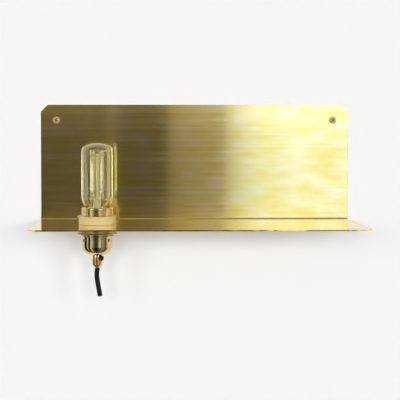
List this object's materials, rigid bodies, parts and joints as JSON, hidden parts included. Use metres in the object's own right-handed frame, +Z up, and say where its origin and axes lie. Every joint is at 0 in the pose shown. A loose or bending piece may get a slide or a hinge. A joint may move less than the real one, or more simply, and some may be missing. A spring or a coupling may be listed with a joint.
{
  "type": "wall lamp with shelf",
  "caption": "Bent brass sheet forming a back plate and shelf, with a threaded lampholder and tubular bulb clamped in the shelf and a short cord below.",
  "frame": {"origin": "on the wall plane, midway between the two wall screws", "axes": "+Z up, +Y into the wall, the front faces -Y, +X to the right seen from the front"},
  "size_m": [0.4, 0.1835, 0.2379],
  "materials": {
    "sheet_brass": "brushed along its length, lightly polished, unlacquered",
    "screw_brass": "satin",
    "ring_brass": "satin, turned",
    "polished_brass": "polished",
    "terminal_brass": "plain machined",
    "contact_bronze": "bright rolled strip",
    "cap_brass": "bright rolled shell",
    "screw_steel": "zinc plated",
    "solder": "dull solder",
    "support_wire": "drawn nickel wire",
    "filament_wire": "matt tungsten",
    "white_ceramic": "unglazed, fine grained",
    "black_glass": "glossy moulded glass",
    "bulb_glass": "clear with a faint amber tint",
    "stem_glass": "clear lead glass",
    "black_plastic": "satin moulded",
    "core_brown": "satin insulation",
    "core_blue": "satin insulation",
    "core_green": "satin insulation, green and yellow",
    "cord_fabric": "braided textile"
  },
  "bodies": {
    "holder": {"shelf_bracket": "sheet_brass", "wall_screws": "screw_brass", "upper_shade_ring": "ring_brass", "lower_shade_ring": "ring_brass", "threaded_skirt": "polished_brass", "holder_cap": "polished_brass", "cap_lock_screws": "screw_steel", "ceramic_insert": "white_ceramic", "screw_shell": "contact_bronze", "shell_rivets": "terminal_brass", "centre_contact": "contact_bronze", "contact_rivets": "terminal_brass", "live_terminal": "terminal_brass", "neutral_terminal": "terminal_brass", "earth_terminal": "terminal_brass", "earth_strip": "contact_bronze", "terminal_screws": "screw_steel", "cord_grip": "polished_brass", "cord_in_grip": "cord_fabric", "cord_free": "cord_fabric", "live_core": "core_brown", "neutral_core": "core_blue", "earth_core": "core_green"},
    "clamp_screw": {"grip_screw": "screw_steel"},
    "clamp_knob": {"grip_knob": "black_plastic"},
    "bulb_foot": {"bulb_contact": "solder"},
    "bulb": {"bulb_insulator": "black_glass", "bulb_screw_cap": "cap_brass", "bulb_glass": "bulb_glass", "bulb_stem": "stem_glass", "filament_rod": "stem_glass", "lead_wires": "support_wire", "upper_supports": "support_wire", "lower_supports": "support_wire", "filament": "filament_wire"}
  },
  "joints": [
    {"name": "bulb_travel", "type": "slide", "parent": "holder", "child": "bulb_foot", "axis": [0, 0, 1], "range_m": [0, 0.01452]},
    {"name": "bulb_turn", "type": "hinge", "parent": "bulb_foot", "child": "bulb", "pos_m": [-0.1235, -0.0725, -0.1285], "axis": [0, 0, 1], "range_deg": [0, 1440]},
    {"name": "clamp_travel", "type": "slide", "parent": "holder", "child": "clamp_screw", "axis": [0.6428, -0.766, 0], "range_m": [0, 0.002]},
    {"name": "clamp_turn", "type": "hinge", "parent": "clamp_screw", "child": "clamp_knob", "pos_m": [-0.1235, -0.0725, -0.17], "axis": [0.6428, -0.766, 0], "range_deg": [0, 1440]}
  ],
  "couplings": [
    {"joint": "bulb_travel", "follows": "bulb_turn", "m_per_rad": 0.00057757},
    {"joint": "clamp_turn", "follows": "clamp_travel", "rad_per_m": 12566}
  ]
}
